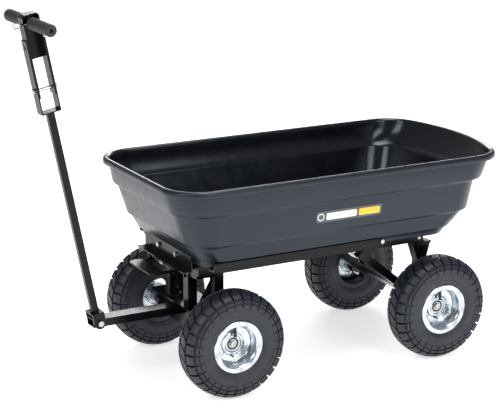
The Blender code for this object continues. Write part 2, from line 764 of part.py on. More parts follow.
# ---- frame --------------------------------------------------------------------------------------
def frame(root):
    rear = -AXLE_X - RAIL_OVER
    reach = RAIL_Y + RAIL_W / 2 + EAR_T
    for name, side in SIDES:
        ends = across((rear, RAIL_Y - RAIL_W / 2, RAIL_LOW), (RAIL_FRONT, RAIL_Y + RAIL_W / 2, RAIL_TOP), side)
        rail = add(f"frame_rail_{name}", box(*ends), "powder", root)
        y = side * RAIL_Y
        cut(rail, "pin_hole", rod((HINGE_X, y - LONG, HINGE_Z), (HINGE_X, y + LONG, HINGE_Z),
                                  HINGE_PIN_D / 2 + RUN))
    inner = RAIL_Y - RAIL_W / 2 - GAP
    cross = box((CROSS_FRONT - CROSS_W, -inner, CROSS_LOW), (CROSS_FRONT, inner, CROSS_TOP))
    add("front_cross_member", cross, "powder", root)
    front_support(root)
    rear_legs(root)
    axle = rod((-AXLE_X, -AXLE_HALF, AXLE_Z), (-AXLE_X, AXLE_HALF, AXLE_Z), AXLE_D / 2, 20)
    add("rear_axle", axle, "zinc", root)
    pin = rod((HINGE_X, -reach, HINGE_Z), (HINGE_X, reach, HINGE_Z), HINGE_PIN_D / 2)
    add("bed_hinge_rod", pin, "zinc", root)


def front_support(root):
    """Posts, legs and struts on the upper turntable plate, welded into one piece."""
    back = POST_FRONT - POST
    low = PLATE_TOP - PLATE_T
    foot_z = PLATE_TOP - BITE
    leg_top = RAIL_LOW - GAP
    reach = LEG_Y + LEG_W / 2
    sheet = box((LEG_X - LEG_W * 1.2, -reach, low), (POST_FRONT + LEG_W / 4, reach, PLATE_TOP))
    support = add("front_support", sheet, "powder", root)
    for name, side in SIDES:
        post = box(*across((back, POST_Y - POST / 2, foot_z),
                           (POST_FRONT, POST_Y + POST / 2, CROSS_LOW - GAP), side))
        join(support, f"post_{name}", post)
        leg = box(*across((LEG_X - LEG_W / 2, LEG_Y - LEG_W / 2, foot_z),
                          (LEG_X + LEG_W / 2, reach, leg_top), side))
        join(support, f"leg_{name}", leg)
        foot = Vector((0, side * (POST_Y - STRUT / 3), foot_z))
        head = Vector((0, side * LEG_Y, leg_top - STRUT))
        run = head - foot
        turn = Matrix.Rotation(-math.atan2(run.y, run.z), 4, "X")
        centre = (foot + head) / 2 + Vector((LEG_X + STRUT / 3, 0, 0))
        join(support, f"strut_{name}", slab(centre, (STRUT, STRUT, run.length), turn))
    hole = rod((AXLE_X, 0, low - LONG), (AXLE_X, 0, PLATE_TOP + LONG), KINGPIN_D / 2 + RUN)
    cut(support, "kingpin_hole", hole)


def rear_legs(root):
    """Upright and diagonal brace of each side, from the rear axle to the long rail."""
    top = RAIL_LOW - GAP
    half = LEG_W / 2
    for name, side in SIDES:
        y = side * RAIL_Y
        upright = box(*across((-AXLE_X - half, RAIL_Y - half, AXLE_Z - AXLE_D * 1.13),
                              (-AXLE_X + half, RAIL_Y + half, top), side))
        leg = add(f"rear_leg_{name}", upright, "powder", root)
        foot = Vector((-AXLE_X + LEG_W / 6, y, AXLE_Z))
        head = Vector((-AXLE_X + BRACE_REACH, y, top - BRACE_T / 3))
        run = head - foot
        turn = Matrix.Rotation(math.atan2(run.x, run.z), 4, "Y")
        join(leg, "brace", slab((foot + head) / 2, (BRACE_T, BRACE_W, run.length), turn))
        above = box((-AXLE_X - LONG, y - LONG, top), (-AXLE_X + BRACE_REACH + LONG, y + LONG, top + LONG))
        cut(leg, "top_cut", above)
        hole = rod((-AXLE_X, y - LONG, AXLE_Z), (-AXLE_X, y + LONG, AXLE_Z), AXLE_D / 2 + RUN, 20)
        cut(leg, "axle_hole", hole)


# ---- steering -----------------------------------------------------------------------------------
def steering(root):
    turntable = empty("steering_pivot", (AXLE_X, 0, BEAM_TOP), parent=root)
    wide = BEAM_W / 2
    web = wide - BEAM_WALL
    section = [
        (-wide, -BEAM_H), (-wide, 0.0), (wide, 0.0), (wide, -BEAM_H),
        (web, -BEAM_H), (web, -BEAM_WALL), (-web, -BEAM_WALL), (-web, -BEAM_H),
    ]
    beam = add("front_axle_beam", plate(section, -BEAM_HALF, BEAM_HALF, "y"), "powder", turntable)
    for name, side in SIDES:
        end = box(*across((-wide + BITE, BEAM_HALF - BEAM_WALL, -BEAM_H),
                          (wide - BITE, BEAM_HALF, -BITE), side))
        join(beam, f"end_{name}", end)
    axle_z = AXLE_Z - BEAM_TOP
    cut(beam, "axle_hole", rod((0, -AXLE_HALF, axle_z), (0, AXLE_HALF, axle_z), AXLE_D / 2 + RUN, 20))
    cut(beam, "kingpin_hole", rod((0, 0, -LONG), (0, 0, LONG), KINGPIN_D / 2 + RUN))
    axle = rod((0, -AXLE_HALF, axle_z), (0, AXLE_HALF, axle_z), AXLE_D / 2, 20)
    add("front_axle", axle, "zinc", turntable)
    tongue(turntable)
    kingpin(turntable)
    for name, side in SIDES:
        wheel(f"front_{name}", 0, axle_z, side, turntable)
    return turntable


def tongue(turntable):
    """Rectangular tube from the turntable to the handle, its front end open, with a thrust ring on top."""
    low = GAP
    high = GAP + TONGUE_H
    half = TONGUE_W / 2
    under_plate = PLATE_RISE - PLATE_T - GAP
    front = TONGUE_END - AXLE_X
    pivot_z = PIVOT_Z - BEAM_TOP
    made = add("tongue", box((-half * 1.58, -half, low), (front, half, high)), "powder", turntable)
    ring = rod((0, 0, high - BITE), (0, 0, under_plate), half - 1.5 * BITE, 24)
    join(made, "thrust_ring", ring)
    bore = box((front / 2, -half + TONGUE_WALL, low + TONGUE_WALL),
               (front + LONG, half - TONGUE_WALL, high - TONGUE_WALL))
    cut(made, "bore", bore)
    hole = rod((PIVOT_AHEAD, -LONG, pivot_z), (PIVOT_AHEAD, LONG, pivot_z), BOLT_D / 2 + RUN)
    cut(made, "bolt_hole", hole)
    cut(made, "kingpin_hole", rod((0, 0, -LONG), (0, 0, LONG), KINGPIN_D / 2 + RUN))


def kingpin(turntable):
    """Bolt that the axle beam turns on, and its nut under the beam's web."""
    top = PLATE_RISE + GAP
    web = -BEAM_WALL - GAP
    pin = add("kingpin", rod((0, 0, web - KING_NUT - 2 * BITE), (0, 0, top + 2 * BITE), KINGPIN_D / 2),
              "zinc", turntable)
    join(pin, "head", hex_head((0, 0, top + KING_HEAD / 2), KING_FLATS, KING_HEAD, (0, 0, 1)))
    nut = hex_head((0, 0, web - KING_NUT / 2), KING_FLATS, KING_NUT, (0, 0, 1))
    cut(add("kingpin_nut", nut, "zinc", turntable), "thread",
        rod((0, 0, -LONG), (0, 0, LONG), KINGPIN_D / 2 + RUN))


# ---- pull handle --------------------------------------------------------------------------------
def pull_handle(turntable):
    pivot = empty("handle_pivot", (PIVOT_AHEAD, 0, PIVOT_Z - BEAM_TOP), (0, LEAN, 0), turntable)
    clevis(pivot)
    section = rounded_square(HANDLE_W, HANDLE_CORNER)
    add("handle_tube", plate(section, CLEVIS_TOP + GAP, YOKE_LOW - GAP), "powder", pivot)
    yoke(pivot)
    return pivot


def clevis(pivot):
    """Inverted U over the tongue's end, with rounded lower ends, and its bolt."""
    inner = TONGUE_W / 2 + CLEVIS_PLAY
    outer = inner + CLEVIS_T
    under = CLEVIS_TOP - CLEVIS_T
    radius = CLEVIS_DEPTH / 2
    section = [
        (-outer, -radius), (-outer, CLEVIS_TOP), (outer, CLEVIS_TOP), (outer, -radius),
        (inner, -radius), (inner, under), (-inner, under), (-inner, -radius),
    ]
    body = add("handle_clevis", plate(section, -radius, radius, "x"), "powder", pivot)
    wide = radius * 1.5
    side_view = arc((0, 0), radius - GAP / 3, 180, 360, 12) + [
        (wide, radius), (wide, CLEVIS_TOP + radius), (-wide, CLEVIS_TOP + radius), (-wide, radius),
    ]
    side_plate = plate(side_view, -outer - LONG, outer + LONG, "y")
    boolean(body, cutter("handle_clevis_side", side_plate, pivot), "INTERSECT")
    cut(body, "bolt_hole", rod((0, -LONG, 0), (0, LONG, 0), BOLT_D / 2 + RUN))
    through_bolt("handle_bolt", (0, 1, 0), 0.0, outer, BOLT_D, BOLT_FLATS, pivot)


def through_bolt(name, axis, height, reach, diameter, flats, parent):
    """Bolt across the local origin at a height, with its head and nut just outside faces at this reach."""
    head = flats * 0.42
    nut = flats * 0.50
    along = Vector(axis)
    middle = Vector((0, 0, height))
    start = middle - along * (reach + GAP + nut + 2 * BITE)
    bolt = add(name, rod(start, middle + along * (reach + head / 2), diameter / 2), "zinc", parent)
    join(bolt, "head", hex_head(middle + along * (reach + GAP + head / 2), flats, head, axis))
    join(bolt, "nut", hex_head(middle - along * (reach + GAP + nut / 2), flats, nut, axis))


def yoke(pivot):
    """Open U at the handle's top: the grip bracket folds inside it, and a drawbar fits into it."""
    outer = YOKE_W / 2
    inner = outer - YOKE_T
    floor = YOKE_LOW + YOKE_T
    hitch = YOKE_TOP - HITCH_HOLE_DOWN
    section = [
        (-outer, YOKE_LOW), (outer, YOKE_LOW), (outer, YOKE_TOP), (inner, YOKE_TOP),
        (inner, floor), (-inner, floor), (-inner, YOKE_TOP), (-outer, YOKE_TOP),
    ]
    body = add("handle_yoke", plate(section, -YOKE_DEPTH / 2, YOKE_DEPTH / 2, "y"), "powder", pivot)
    cut(body, "cross_pin_hole", rod((-LONG, 0, CROSS_PIN), (LONG, 0, CROSS_PIN), CROSS_PIN_D / 2 + RUN))
    cut(body, "hitch_hole", rod((-LONG, 0, hitch), (LONG, 0, hitch), HITCH_PIN_D / 2 + BITE))
    through_bolt("cross_pin", (1, 0, 0), CROSS_PIN, outer, CROSS_PIN_D, PIN_FLATS, pivot)


def grip_head(pivot):
    """Folding bracket inside the yoke, with the T-bar, its two grips and the stored hitch pin."""
    turn = empty("grip_pivot", (0, 0, CROSS_PIN), parent=pivot)
    outer = BRACKET_OUT
    inner = outer - YOKE_T
    depth = YOKE_DEPTH / 2
    bar = TBAR - CROSS_PIN
    bracket(turn, outer, inner, depth, bar)
    half = GRIP_END - GRIP_COLLAR
    t_bar = add("grip_bar", rod((0, -half, bar), (0, half, bar), TBAR_D / 2, 20), "powder", turn)
    cut(t_bar, "pin_hole", rod((-LONG, 0, bar), (LONG, 0, bar), HITCH_PIN_D / 2 + RUN))
    start = depth + 2 * BITE
    bore = TBAR_D / 2 + GAP
    length = GRIP_END - start
    cap = length - GRIP_COLLAR + GAP
    radius = GRIP_D / 2
    for name, side in SIDES:
        profile = [
            (bore, 0.0), (radius * 1.06, 0.0), (radius * 1.06, GRIP_COLLAR), (radius, GRIP_COLLAR * 1.6),
            (radius, length - GRIP_COLLAR), (radius - GRIP_COLLAR * 0.6, length), (GRIP_HOLE_D / 2, length),
            (GRIP_HOLE_D / 2, cap), (bore, cap),
        ]
        place = Matrix.Translation((0, side * start, bar)) @ Matrix.Rotation(-side * math.pi / 2, 4, "X")
        turned(f"grip_{name}", profile, "rubber", 16, turn, place)
    hitch_pin(turn, bar)
    return turn


def bracket(turn, outer, inner, depth, bar):
    top = BRACKET_TOP - CROSS_PIN
    low = BRACKET_LOW - CROSS_PIN
    edge = outer - BRACKET_CHAMFER
    section = [
        (-outer, low), (-outer, top - BRACKET_CHAMFER), (-edge, top), (edge, top),
        (outer, top - BRACKET_CHAMFER), (outer, low), (inner, low), (inner, top - YOKE_T),
        (-inner, top - YOKE_T), (-inner, low),
    ]
    made = add("grip_bracket", plate(section, -depth, depth, "y"), "powder", turn)
    web = box((-inner - BITE, -depth, WEB_LOW - CROSS_PIN), (inner + BITE, -depth + YOKE_T, top - BITE))
    join(made, "web", web)
    cut(made, "cross_pin_hole", rod((-LONG, 0, 0), (LONG, 0, 0), CROSS_PIN_D / 2 + RUN))
    cut(made, "bar_hole", rod((0, -LONG, bar), (0, 0, bar), TBAR_D / 2 + GAP, 20))
    cut(made, "hitch_pin_hole", rod((-LONG, 0, bar), (LONG, 0, bar), HITCH_PIN_D / 2 + RUN))


def hitch_pin(turn, bar):
    slide = empty("hitch_pin_slide", (0, 0, bar), parent=turn)
    knob = BRACKET_OUT + KNOB_REACH
    shank = rod((-BRACKET_OUT - KNOB_L * 0.6, 0, 0), (knob - KNOB_L / 2, 0, 0), HITCH_PIN_D / 2, 12)
    pin = add("hitch_pin", shank, "zinc", slide)
    join(pin, "knob", rod((knob - KNOB_L, 0, 0), (knob, 0, 0), KNOB_D / 2, 12))


# ---- assembly -----------------------------------------------------------------------------------
def tie_to(parent, build):
    """Build pieces in cart coordinates, then hang them on an empty without moving them."""
    before = set(bpy.data.objects)
    build(None)
    for obj in set(bpy.data.objects) - before:
        if obj.parent is None:
            obj.parent = parent
            obj.matrix_parent_inverse = Matrix.Translation(-parent.location)


def bed(root):
    pivot = empty("bed_pivot", (HINGE_X, 0, HINGE_Z), parent=root)
    tie_to(pivot, bed_pieces)
    release(pivot)


def bed_pieces(parent):
    tub(parent)
    side_rails(parent)
    front_angle(parent)
    hinge_bracket(parent)


def main():
    clear_scene()
    root = empty("cart", (SHIFT, 0, 0))
    frame(root)
    turntable = steering(root)
    pivot = pull_handle(turntable)
    grip_head(pivot)
    bed(root)
    for name, side in SIDES:
        wheel(f"rear_{name}", -AXLE_X, AXLE_Z, side, root)


main()
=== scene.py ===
"""Looks of the garden dump cart: moulded tub, powder-coated frame, galvanised rims, knobby tyres and
T-handle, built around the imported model.

Metres, +X forward (handle end), +Y the cart's left, +Z up, the ground at z = 0.
"""
import json
import math

import bmesh
import bpy
from mathutils import Euler, Matrix, Vector


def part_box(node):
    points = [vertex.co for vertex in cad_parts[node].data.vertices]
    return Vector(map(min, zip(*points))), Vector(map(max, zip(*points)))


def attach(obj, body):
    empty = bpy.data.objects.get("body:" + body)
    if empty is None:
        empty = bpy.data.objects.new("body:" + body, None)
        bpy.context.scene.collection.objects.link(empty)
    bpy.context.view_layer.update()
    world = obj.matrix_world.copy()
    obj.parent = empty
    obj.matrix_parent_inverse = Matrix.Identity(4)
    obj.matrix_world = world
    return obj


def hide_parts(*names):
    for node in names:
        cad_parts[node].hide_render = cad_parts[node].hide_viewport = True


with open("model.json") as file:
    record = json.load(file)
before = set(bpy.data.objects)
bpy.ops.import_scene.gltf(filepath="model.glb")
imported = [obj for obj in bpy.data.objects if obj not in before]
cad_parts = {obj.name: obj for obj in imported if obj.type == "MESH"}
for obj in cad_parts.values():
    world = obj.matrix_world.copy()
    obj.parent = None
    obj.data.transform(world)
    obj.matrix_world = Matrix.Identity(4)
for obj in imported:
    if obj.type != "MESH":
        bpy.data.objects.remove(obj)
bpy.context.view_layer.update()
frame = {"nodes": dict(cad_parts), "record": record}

# ---- sizes that are not in the frame ------------------------------------------------------------
LUGS = 30  # tread lugs round each shoulder
LUG_DEPTH = 0.0068
WHEEL_STEPS = 96
TUB_DEPTH = 0.205
TUB_WALL = 0.0045
FLOOR_INSET = 0.0545
BOW_RADIUS = 0.55
RIM_SHEET = 0.0018
ROLL_STEPS = 6
BAND_FOOT, BAND_FOOT_IN = 0.0640, 0.0323  # flat band of the tub's side: height over the floor, inset
BAND_HEAD, BAND_HEAD_IN = 0.1320, 0.0247
RIVET_CIRCLE = 0.0340
HOLE_CIRCLE = 0.0305
HOLE_RADIUS = 0.0024
GUSSET_HALF = 0.0145  # half its width across the cart
GUSSET_DROP = 0.046
SHARP_ANGLE = 35.0  # degrees between faces that count as an edge
POWDER_EDGE = 0.0012  # rounding of each kind of edge
ZINC_EDGE = 0.0005
PAD_EDGE = 0.0015
FLOOR_SIZE = 60.0
FLOOR_GLOW = 0.62
WORLD_GLOW = 0.36
CAMERA_AT = (1.9312, 3.5041, 1.4983)
CAMERA_TURN = (74.637, -0.191, 151.388)  # degrees
CAMERA_LENS = 119.74
WHEELS = [f"{end}_{side}" for end in ("front", "rear") for side in ("left", "right")]


# ---- node materials -----------------------------------------------------------------------------
class Look:
    """A Principled material under construction, with short calls for its nodes."""

    def __init__(self, name, colour, roughness, metallic=0.0):
        self.material = bpy.data.materials.new(name)
        self.material.use_nodes = True
        self.tree = self.material.node_tree
        self.shader = self.tree.nodes["Principled BSDF"]
        self.shader.inputs["Base Color"].default_value = (*colour, 1.0)
        self.shader.inputs["Roughness"].default_value = roughness
        self.shader.inputs["Metallic"].default_value = metallic
        self.material.diffuse_color = (*colour, 1.0)
        self.place = self.tree.nodes.new("ShaderNodeTexCoord").outputs["Object"]
        self.normal = None

    def noise(self, scale, detail=4.0, stretch=(1, 1, 1)):
        mapping = self.tree.nodes.new("ShaderNodeMapping")
        mapping.inputs["Scale"].default_value = stretch
        self.tree.links.new(self.place, mapping.inputs["Vector"])
        made = self.tree.nodes.new("ShaderNodeTexNoise")
        made.inputs["Scale"].default_value = scale
        made.inputs["Detail"].default_value = detail
        self.tree.links.new(mapping.outputs["Vector"], made.inputs["Vector"])
        return made.outputs["Fac"]

    def ramp(self, source, stops):
        made = self.tree.nodes.new("ShaderNodeValToRGB")
        ramp = made.color_ramp
        while len(ramp.elements) < len(stops):
            ramp.elements.new(0.5)
        for element, (position, value) in zip(ramp.elements, stops):
            element.position = position
            element.color = (*value, 1.0) if isinstance(value, tuple) else (value, value, value, 1.0)
        self.tree.links.new(source, made.inputs["Fac"])
        return made.outputs["Color"]

    def colour(self, source, stops):
        self.tree.links.new(self.ramp(source, stops), self.shader.inputs["Base Color"])

    def roughness(self, source, low, high):
        self.tree.links.new(self.ramp(source, ((0.25, low), (0.75, high))), self.shader.inputs["Roughness"])

    def bump(self, source, distance, strength=1.0):
        made = self.tree.nodes.new("ShaderNodeBump")
        made.inputs["Distance"].default_value = distance
        made.inputs["Strength"].default_value = strength
        self.tree.links.new(source, made.inputs["Height"])
        if self.normal is not None:
            self.tree.links.new(self.normal, made.inputs["Normal"])
        self.normal = made.outputs["Normal"]
        self.tree.links.new(self.normal, self.shader.inputs["Normal"])


def shade(colour, factor):
    return tuple(min(value * factor, 1.0) for value in colour)


def moulded(name, colour, roughness, shine):
    """Polyethylene with a fine moulded grain, slow shade changes and a few scuffs."""
    look = Look(name, colour, roughness)
    slow = look.noise(7.0, 3.0)
    look.colour(slow, ((0.3, shade(colour, 0.90)), (0.7, shade(colour, 1.12))))
    look.roughness(look.noise(38.0, 5.0), roughness - 0.05, roughness + 0.07)
    look.bump(look.noise(1500.0, 2.0), 0.00010, 0.5)
    look.bump(look.noise(22.0, 2.0), 0.0004, 0.10)
    look.shader.inputs["Specular IOR Level"].default_value = shine
    look.shader.inputs["Specular Tint"].default_value = (0.80, 0.89, 1.0, 1.0)
    return look.material


def powder_coat():
    colour = (0.0024, 0.0026, 0.0040)
    look = Look("powder_coat", colour, 0.24)
    look.colour(look.noise(30.0, 4.0), ((0.35, shade(colour, 0.8)), (0.7, shade(colour, 1.4))))
    look.roughness(look.noise(90.0, 4.0), 0.17, 0.28)
    look.bump(look.noise(420.0, 2.0), 0.00016, 0.35)
    look.shader.inputs["Specular IOR Level"].default_value = 0.20
    look.shader.inputs["Coat Weight"].default_value = 0.03
    look.shader.inputs["Coat Roughness"].default_value = 0.08
    return look.material


def tyre_rubber():
    colour = (0.0095, 0.0125, 0.0215)
    look = Look("tyre_rubber", colour, 0.46)
    look.colour(look.noise(24.0, 6.0), ((0.3, shade(colour, 0.75)), (0.75, shade(colour, 1.35))))
    look.roughness(look.noise(60.0, 5.0), 0.38, 0.56)
    look.bump(look.noise(900.0, 3.0), 0.00025, 0.4)
    return look.material


def galvanised():
    # The zinc colour is held dark and mottled strongly, between 0.62 and 1.3 times itself: this is the
    # zinc's spangle and also painted dark reflections on the rims.
    colour = (0.60, 0.65, 0.70)
    look = Look("galvanised", colour, 0.24, 1.0)
    look.colour(look.noise(46.0, 5.0), ((0.36, shade(colour, 0.62)), (0.64, shade(colour, 1.30))))
    look.roughness(look.noise(120.0, 4.0), 0.15, 0.30)
    look.bump(look.noise(16.0, 2.0), 0.0008, 0.15)
    look.bump(look.noise(500.0, 2.0), 0.00008, 0.3)
    return look.material


def zinc():
    colour = (0.50, 0.51, 0.52)
    look = Look("zinc_plate", colour, 0.26, 1.0)
    look.colour(look.noise(160.0, 5.0), ((0.3, shade(colour, 0.82)), (0.7, shade(colour, 1.1))))
    look.roughness(look.noise(240.0, 4.0), 0.20, 0.36)
    look.bump(look.noise(700.0, 2.0), 0.00006, 0.3)
    return look.material


def soft_rubber():
    colour = (0.0120, 0.0130, 0.0150)
    look = Look("soft_rubber", colour, 0.50)
    look.colour(look.noise(50.0, 4.0), ((0.3, shade(colour, 0.8)), (0.75, shade(colour, 1.3))))
    look.roughness(look.noise(80.0, 4.0), 0.45, 0.62)
    look.bump(look.noise(1200.0, 2.0), 0.0002, 0.4)
    return look.material


def printed(name, colour):
    look = Look(name, colour, 0.35)
    look.colour(look.noise(60.0, 4.0), ((0.3, shade(colour, 0.92)), (0.7, shade(colour, 1.05))))
    look.roughness(look.noise(200.0, 3.0), 0.28, 0.40)
    look.bump(look.noise(600.0, 2.0), 0.00005, 0.3)
    return look.material


LOOKS = {
    "poly": moulded("tub_outside", (0.0060, 0.0085, 0.0140), 0.33, 0.44),
    # Painted shade: the tub's inside is the same polyethylene as the outside, coloured darker to stand for
    # the shade inside the tub.
    "inside": moulded("tub_inside_painted_shade", (0.0020, 0.0026, 0.0038), 0.17, 0.40),
    "powder": powder_coat(),
    "tyre": tyre_rubber(),
    "galvanised": galvanised(),
    "zinc": zinc(),
    "rubber": soft_rubber(),
    "white": printed("label_white", (0.80, 0.80, 0.80)),
    "yellow": printed("label_yellow", (0.86, 0.56, 0.03)),
    "border": printed("label_border", (0.075, 0.080, 0.090)),
}


# ---- mesh helpers -------------------------------------------------------------------------------
def piece(name, bm, look, body, stands_for=(), place=None):
    """Make a named piece from a bmesh, smooth except at sharp edges, and tie it to its body."""
    bmesh.ops.recalc_face_normals(bm, faces=bm.faces)
    data = bpy.data.meshes.new(name)
    bm.to_mesh(data)
    bm.free()
    return dress(name, data, look, body, stands_for, place)


def dress(name, data, look, body, stands_for=(), place=None, sharp=SHARP_ANGLE):
    obj = bpy.data.objects.new(name, data)
    bpy.context.scene.collection.objects.link(obj)
    if not data.materials:
        data.materials.append(LOOKS[look])
    data.shade_smooth()
    data.set_sharp_from_angle(angle=math.radians(sharp))
    if place is not None:
        data.transform(place)
    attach(obj, body)
    if stands_for:
        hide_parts(*stands_for)
    return obj


def bevel(obj, width):
    step = obj.modifiers.new("rounded", "BEVEL")
    step.width = width
    step.segments = 2
    step.limit_method = "ANGLE"
    step.angle_limit = math.radians(SHARP_ANGLE)
    step.use_clamp_overlap = True


def revolve(profile, steps=WHEEL_STEPS, closed=True, bm=None, matrix=None):
    """Turn (radius, height) points about Z; points on the axis close the end."""
    bm = bm or bmesh.new()
    rings = []
    for radius, height in profile:
        if radius < 1e-6:
            rings.append([bm.verts.new((0.0, 0.0, height))])
            continue
        ring = []
        for i in range(steps):
            angle = math.tau * i / steps
            ring.append(bm.verts.new((radius * math.cos(angle), radius * math.sin(angle), height)))
        rings.append(ring)
    pairs = list(zip(rings, rings[1:]))
    if closed:
        pairs.append((rings[-1], rings[0]))
    for low, high in pairs:
        for i in range(steps):
            j = (i + 1) % steps
            corners = [low[i % len(low)], low[j % len(low)], high[j % len(high)], high[i % len(high)]]
            unique = list(dict.fromkeys(corners))
            if len(unique) > 2:
                bm.faces.new(unique)
    if matrix is not None:
        bmesh.ops.transform(bm, matrix=matrix, verts=[vert for ring in rings for vert in ring])
    return bm


def sheet(path, thickness):
    """Closed profile of a bent sheet: the path and its offset on the left, mitred."""
    moved = []
    for i, point in enumerate(path):
        here = Vector(point)
        first = (here - Vector(path[i - 1])).normalized() if i else None
        second = (Vector(path[i + 1]) - here).normalized() if i < len(path) - 1 else None
        first = first or second
        second = second or first
        normal = (Vector((-first.y, first.x)) + Vector((-second.y, second.x))).normalized()
        stretch = max(normal.dot(Vector((-first.y, first.x))), 0.4)
        moved.append(tuple(here + normal * thickness / stretch))
    return list(path) + moved[::-1]


def arc(centre, radius, start, end, steps):
    points = []
    for i in range(steps + 1):
        angle = math.radians(start + (end - start) * i / steps)
        points.append((centre[0] + radius * math.cos(angle), centre[1] + radius * math.sin(angle)))
    return points


def middle(node):
    low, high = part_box(node)
    return (Vector(low) + Vector(high)) / 2


def block(low, high, bm=None):
    bm = bm or bmesh.new()
    low, high = Vector(low), Vector(high)
    where = Matrix.Translation((low + high) / 2) @ Matrix.Diagonal((*(high - low), 1))
    bmesh.ops.create_cube(bm, size=1.0, matrix=where)
    return bm


# ---- wheels -------------------------------------------------------------------------------------
def tread_rows():
    """Carcass stations from the crown to the bead: radius, height, lug depth, shift along the pitch."""
    deep = LUG_DEPTH
    return [
        (0.1252, 0.0000, deep, 0.00), (0.1250, 0.0060, deep, 0.15), (0.1247, 0.0112, deep, 0.28),
        (0.1246, 0.0122, 0.0, 0.28), (0.1243, 0.0148, 0.0, 0.50), (0.1242, 0.0158, deep, 0.50),
        (0.1225, 0.0230, deep, 0.50), (0.1190, 0.0295, deep, 0.50), (0.1158, 0.0328, deep * 0.85, 0.50),
        (0.1152, 0.0333, deep * 0.16, 0.50), (0.1136, 0.0342, deep * 0.14, 0.50),
        (0.1128, 0.0347, deep * 0.66, 0.50), (0.1078, 0.0368, deep * 0.55, 0.50),
        (0.1072, 0.0370, deep * 0.10, 0.50), (0.1056, 0.0375, deep * 0.08, 0.50),
        (0.1048, 0.0377, deep * 0.44, 0.50), (0.0990, 0.0387, deep * 0.32, 0.50),
        (0.0968, 0.0389, deep * 0.22, 0.50), (0.0956, 0.0391, 0.0, 0.50), (0.0900, 0.0396, 0.0, 0.50),
        (0.0830, 0.0396, 0.0, 0.50), (0.0775, 0.0388, 0.0, 0.50), (0.0768, 0.0393, 0.0, 0.50),
        (0.0752, 0.0391, 0.0, 0.50), (0.0745, 0.0379, 0.0, 0.50), (0.0700, 0.0366, 0.0, 0.50),
        (0.0668, 0.0350, 0.0, 0.50), (0.0650, 0.0338, 0.0, 0.50), (0.0645, 0.0328, 0.0, 0.50),
        (0.0540, 0.0320, 0.0, 0.50), (0.0515, 0.0290, 0.0, 0.50),
    ]


def tyre_mesh():
    """Knobby tyre: a ring of stations whose vertices step out where a lug stands."""
    side = tread_rows()
    rows = [(r, -h, d, -s) for r, h, d, s in side[:0:-1]] + side
    columns = [(0.0, 0), (0.065, 0), (0.105, 1), (0.35, 1), (0.65, 1), (0.895, 1), (0.935, 0)]
    pitch = math.tau / LUGS
    bm = bmesh.new()
    rings = []
    for i, (radius, height, depth, shift) in enumerate(rows):
        before = Vector(rows[max(i - 1, 0)][:2])
        after = Vector(rows[min(i + 1, len(rows) - 1)][:2])
        along = (after - before).normalized()
        out = Vector((along.y, -along.x))
        ring = []
        for lug in range(LUGS):
            for fraction, raised in columns:
                at = Vector((radius, height)) + out * depth * raised
                angle = (lug + fraction + shift) * pitch
                ring.append(bm.verts.new((at.x * math.cos(angle), at.x * math.sin(angle), at.y)))
        rings.append(ring)
    for low, high in zip(rings, rings[1:]):
        for i in range(len(low)):
            j = (i + 1) % len(low)
            bm.faces.new((low[i], low[j], high[j], high[i]))
    for i in range(len(rings[0])):
        j = (i + 1) % len(rings[0])
        bm.faces.new((rings[-1][i], rings[-1][j], rings[0][j], rings[0][i]))
    return bm


def rim_path():
    """Visible skin of a rim half: rolled flange, dished barrel, disc, boss round the hub."""
    return (
        [(0.0637, 0.0332)]
        + arc((0.0619, 0.0340), 0.0017, 0, 90, 4)
        + [(0.0590, 0.0357), (0.0566, 0.0352)]
        + arc((0.0566, 0.0286), 0.0066, 100, 172, 5)
        + [(0.0494, 0.0250), (0.0489, 0.0120)]
        + arc((0.0419, 0.0100), 0.0070, 0, -84, 6)
        + [(0.0330, 0.0028), (0.0290, 0.0028)]
        + arc((0.0290, 0.0044), 0.0016, 270, 200, 3)
        + [(0.0268, 0.0056), (0.0255, 0.0062), (0.0232, 0.0062), (0.0222, 0.0052), (0.0216, 0.0030)]
        + [(0.0200, 0.0028)]
    )


def rivets(bm):
    """Low domes on the disc, with their foot sunk into it."""
    dome = [
        (0.0, 0.0030), (0.0022, 0.0027), (0.0038, 0.0016), (0.0044, 0.0), (0.0044, -0.0010), (0.0, -0.0010),
    ]
    for angle in (-52, 38, 128, 218):
        turn = math.radians(angle)
        at = Matrix.Translation((RIVET_CIRCLE * math.cos(turn), RIVET_CIRCLE * math.sin(turn), 0.0030))
        revolve(dome, 20, False, bm, at)


def disc_holes(obj, angles):
    """Round holes through the disc, cut with a tool that is then removed."""
    bm = bmesh.new()
    for angle in angles:
        turn = math.radians(angle)
        at = Matrix.Translation((HOLE_CIRCLE * math.cos(turn), HOLE_CIRCLE * math.sin(turn), 0.0))
        bmesh.ops.create_cone(
            bm, cap_ends=True, segments=20, radius1=HOLE_RADIUS, radius2=HOLE_RADIUS, depth=0.03, matrix=at
        )
    data = bpy.data.meshes.new("disc_holes")
    bm.to_mesh(data)
    bm.free()
    tool = bpy.data.objects.new("disc_holes", data)
    bpy.context.scene.collection.objects.link(tool)
    step = obj.modifiers.new("holes", "BOOLEAN")
    step.operation = "DIFFERENCE"
    step.solver = "EXACT"
    step.object = tool
    baked(obj)
    bpy.data.objects.remove(tool, do_unlink=True)


def baked(obj):
    """Give an object the mesh that its modifiers make, and drop the modifiers."""
    depsgraph = bpy.context.evaluated_depsgraph_get()
    data = bpy.data.meshes.new_from_object(obj.evaluated_get(depsgraph))
    obj.modifiers.clear()
    obj.data = data


